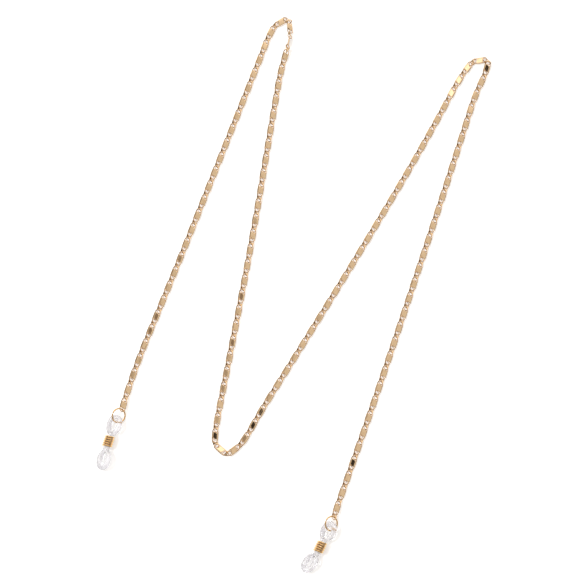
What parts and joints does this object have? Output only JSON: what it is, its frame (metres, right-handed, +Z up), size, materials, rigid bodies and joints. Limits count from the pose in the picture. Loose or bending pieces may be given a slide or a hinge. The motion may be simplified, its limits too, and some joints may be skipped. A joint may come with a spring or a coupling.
{
  "type": "eyeglasses chain strap",
  "caption": "Gold-tone chain of pressed long and short links, with a jump ring and a clear silicone temple loop pinched by a sliding wire coil at each end.",
  "frame": {"origin": "on the table under the middle of the laid-out strap's bounding box", "axes": "+Z up from the table; +Y along the strands, away from the ends with the silicone loops; +X from the left end to the right end"},
  "size_m": [0.1505, 0.2139, 0.0039],
  "materials": {
    "gold_metal": "polished pale gold plating",
    "gold_wire": "polished pale gold plating",
    "clear_silicone": "milky clear, satin"
  },
  "bodies": {
    "stretch_01": {"long_links_01": "gold_metal", "short_links_01": "gold_metal"},
    "stretch_02": {"long_links_02": "gold_metal", "short_links_02": "gold_metal"},
    "stretch_03": {"long_links_03": "gold_metal", "short_links_03": "gold_metal"},
    "stretch_04": {"long_links_04": "gold_metal", "short_links_04": "gold_metal"},
    "stretch_05": {"long_links_05": "gold_metal", "short_links_05": "gold_metal"},
    "stretch_06": {"long_links_06": "gold_metal", "short_links_06": "gold_metal"},
    "stretch_07": {"long_links_07": "gold_metal", "short_links_07": "gold_metal"},
    "stretch_08": {"long_links_08": "gold_metal", "short_links_08": "gold_metal"},
    "stretch_09": {"long_links_09": "gold_metal", "short_links_09": "gold_metal"},
    "stretch_10": {"long_links_10": "gold_metal", "short_links_10": "gold_metal"},
    "stretch_11": {"long_links_11": "gold_metal", "short_links_11": "gold_metal"},
    "stretch_12": {"long_links_12": "gold_metal", "short_links_12": "gold_metal"},
    "stretch_13": {"long_links_13": "gold_metal", "short_links_13": "gold_metal"},
    "stretch_14": {"long_links_14": "gold_metal", "short_links_14": "gold_metal"},
    "stretch_15": {"long_links_15": "gold_metal", "short_links_15": "gold_metal"},
    "stretch_16": {"long_links_16": "gold_metal", "short_links_16": "gold_metal"},
    "stretch_17": {"long_links_17": "gold_metal", "short_links_17": "gold_metal"},
    "stretch_18": {"long_links_18": "gold_metal", "short_links_18": "gold_metal"},
    "stretch_19": {"long_links_19": "gold_metal", "short_links_19": "gold_metal"},
    "stretch_20": {"long_links_20": "gold_metal", "short_links_20": "gold_metal"},
    "stretch_21": {"long_links_21": "gold_metal", "short_links_21": "gold_metal"},
    "stretch_22": {"long_links_22": "gold_metal", "short_links_22": "gold_metal"},
    "stretch_23": {"long_links_23": "gold_metal", "short_links_23": "gold_metal"},
    "stretch_24": {"long_links_24": "gold_metal", "short_links_24": "gold_metal"},
    "left_jump_ring": {"left_jump_ring": "gold_wire"},
    "left_silicone_loop": {"left_silicone_loop": "clear_silicone"},
    "left_slide_coil": {"left_slide_coil": "gold_wire"},
    "right_jump_ring": {"right_jump_ring": "gold_wire"},
    "right_silicone_loop": {"right_silicone_loop": "clear_silicone"},
    "right_slide_coil": {"right_slide_coil": "gold_wire"}
  },
  "joints": [
    {"name": "fold_before_link_123", "type": "hinge", "parent": "stretch_13", "child": "stretch_14", "pos_m": [-0.01134, -0.04332, 0.00069], "axis": [-0.848, 0.5299, 0], "range_deg": [-35, 35]},
    {"name": "fold_before_link_133", "type": "hinge", "parent": "stretch_14", "child": "stretch_15", "pos_m": [0.00442, -0.01797, 0.00069], "axis": [0.8509, -0.5253, 0], "range_deg": [-35, 35]},
    {"name": "fold_before_link_143", "type": "hinge", "parent": "stretch_15", "child": "stretch_16", "pos_m": [0.02003, 0.00747, 0.00069], "axis": [-0.8549, 0.5188, 0], "range_deg": [-35, 35]},
    {"name": "fold_before_link_153", "type": "hinge", "parent": "stretch_16", "child": "stretch_17", "pos_m": [0.03539, 0.03307, 0.00069], "axis": [0.8605, -0.5094, 0], "range_deg": [-35, 35]},
    {"name": "fold_before_link_161", "type": "hinge", "parent": "stretch_17", "child": "stretch_18", "pos_m": [0.04741, 0.0537, 0.00069], "axis": [-0.871, 0.4913, 0], "range_deg": [-35, 35]},
    {"name": "fold_before_link_169", "type": "hinge", "parent": "stretch_18", "child": "stretch_19", "pos_m": [0.05893, 0.07462, 0.00069], "axis": [0.8829, -0.4695, 0], "range_deg": [-35, 35]},
    {"name": "turn_before_link_176", "type": "hinge", "parent": "stretch_19", "child": "stretch_20", "pos_m": [0.07313, 0.08982, 0.00069], "axis": [0, 0, 1], "range_deg": [0, 55]},
    {"name": "fold_before_link_187", "type": "hinge", "parent": "stretch_20", "child": "stretch_21", "pos_m": [0.06405, 0.06048, 0.00069], "axis": [0.9504, -0.3111, 0], "range_deg": [-35, 35]},
    {"name": "fold_before_link_199", "type": "hinge", "parent": "stretch_21", "child": "stretch_22", "pos_m": [0.05281, 0.02646, 0.00069], "axis": [-0.9483, 0.3173, 0], "range_deg": [-35, 35]},
    {"name": "fold_before_link_211", "type": "hinge", "parent": "stretch_22", "child": "stretch_23", "pos_m": [0.04137, -0.00748, 0.00069], "axis": [0.9466, -0.3223, 0], "range_deg": [-35, 35]},
    {"name": "fold_before_link_225", "type": "hinge", "parent": "stretch_23", "child": "stretch_24", "pos_m": [0.02776, -0.04699, 0.00069], "axis": [-0.9434, 0.3317, 0], "range_deg": [-35, 35]},
    {"name": "turn_before_link_114", "type": "hinge", "parent": "stretch_13", "child": "stretch_12", "pos_m": [-0.02696, -0.06233, 0.00069], "axis": [0, 0, 1], "range_deg": [0, 60]},
    {"name": "fold_before_link_105", "type": "hinge", "parent": "stretch_12", "child": "stretch_11", "pos_m": [-0.02717, -0.03601, 0.00069], "axis": [0.9816, -0.1908, 0], "range_deg": [-35, 35]},
    {"name": "fold_before_link_95", "type": "hinge", "parent": "stretch_11", "child": "stretch_10", "pos_m": [-0.0216, -0.00668, 0.00069], "axis": [-0.983, 0.1837, 0], "range_deg": [-35, 35]},
    {"name": "fold_before_link_85", "type": "hinge", "parent": "stretch_10", "child": "stretch_09", "pos_m": [-0.01634, 0.0227, 0.00069], "axis": [0.9856, -0.1693, 0], "range_deg": [-35, 35]},
    {"name": "fold_before_link_75", "type": "hinge", "parent": "stretch_09", "child": "stretch_08", "pos_m": [-0.01154, 0.05216, 0.00069], "axis": [-0.9875, 0.1579, 0], "range_deg": [-35, 35]},
    {"name": "fold_before_link_65", "type": "hinge", "parent": "stretch_08", "child": "stretch_07", "pos_m": [-0.0067, 0.08161, 0.00069], "axis": [0.9863, -0.165, 0], "range_deg": [-35, 35]},
    {"name": "turn_before_link_56", "type": "hinge", "parent": "stretch_07", "child": "stretch_06", "pos_m": [-0.0041, 0.10601, 0.00083], "axis": [0, 0, -1], "range_deg": [0, 65]},
    {"name": "fold_before_link_47", "type": "hinge", "parent": "stretch_06", "child": "stretch_05", "pos_m": [-0.01722, 0.08214, 0.00069], "axis": [0.9336, -0.3584, 0], "range_deg": [-35, 35]},
    {"name": "fold_before_link_39", "type": "hinge", "parent": "stretch_05", "child": "stretch_04", "pos_m": [-0.02577, 0.05985, 0.00069], "axis": [-0.9336, 0.3584, 0], "range_deg": [-35, 35]},
    {"name": "fold_before_link_31", "type": "hinge", "parent": "stretch_04", "child": "stretch_03", "pos_m": [-0.03433, 0.03756, 0.00069], "axis": [0.9336, -0.3584, 0], "range_deg": [-35, 35]},
    {"name": "fold_before_link_21", "type": "hinge", "parent": "stretch_03", "child": "stretch_02", "pos_m": [-0.04507, 0.00971, 0.00069], "axis": [-0.9318, 0.363, 0], "range_deg": [-35, 35]},
    {"name": "fold_before_link_11", "type": "hinge", "parent": "stretch_02", "child": "stretch_01", "pos_m": [-0.0561, -0.01803, 0.00069], "axis": [0.9272, -0.3746, 0], "range_deg": [-35, 35]},
    {"name": "left_jump_ring_swing", "type": "hinge", "parent": "stretch_01", "child": "left_jump_ring", "pos_m": [-0.06543, -0.04601, 0.00148], "axis": [0.7093, -0.4523, -0.5406], "range_deg": [-30, 30]},
    {"name": "left_silicone_loop_swing", "type": "hinge", "parent": "left_jump_ring", "child": "left_silicone_loop", "pos_m": [-0.0679, -0.05066, 0.00212], "axis": [0.7093, -0.4523, -0.5406], "range_deg": [-15, 25]},
    {"name": "left_coil_slide", "type": "slide", "parent": "left_silicone_loop", "child": "left_slide_coil", "axis": [-0.309, -0.9511, 0], "range_m": [-0.0003, 0.0011]},
    {"name": "right_jump_ring_swing", "type": "hinge", "parent": "stretch_24", "child": "right_jump_ring", "pos_m": [0.01391, -0.08609, 0.00148], "axis": [0.7527, -0.3757, -0.5406], "range_deg": [-30, 30]},
    {"name": "right_silicone_loop_swing", "type": "hinge", "parent": "right_jump_ring", "child": "right_silicone_loop", "pos_m": [0.01194, -0.09097, 0.00212], "axis": [0.7527, -0.3757, -0.5406], "range_deg": [-15, 25]},
    {"name": "right_coil_slide", "type": "slide", "parent": "right_silicone_loop", "child": "right_slide_coil", "axis": [-0.454, -0.891, 0], "range_m": [-0.0003, 0.0011]}
  ]
}
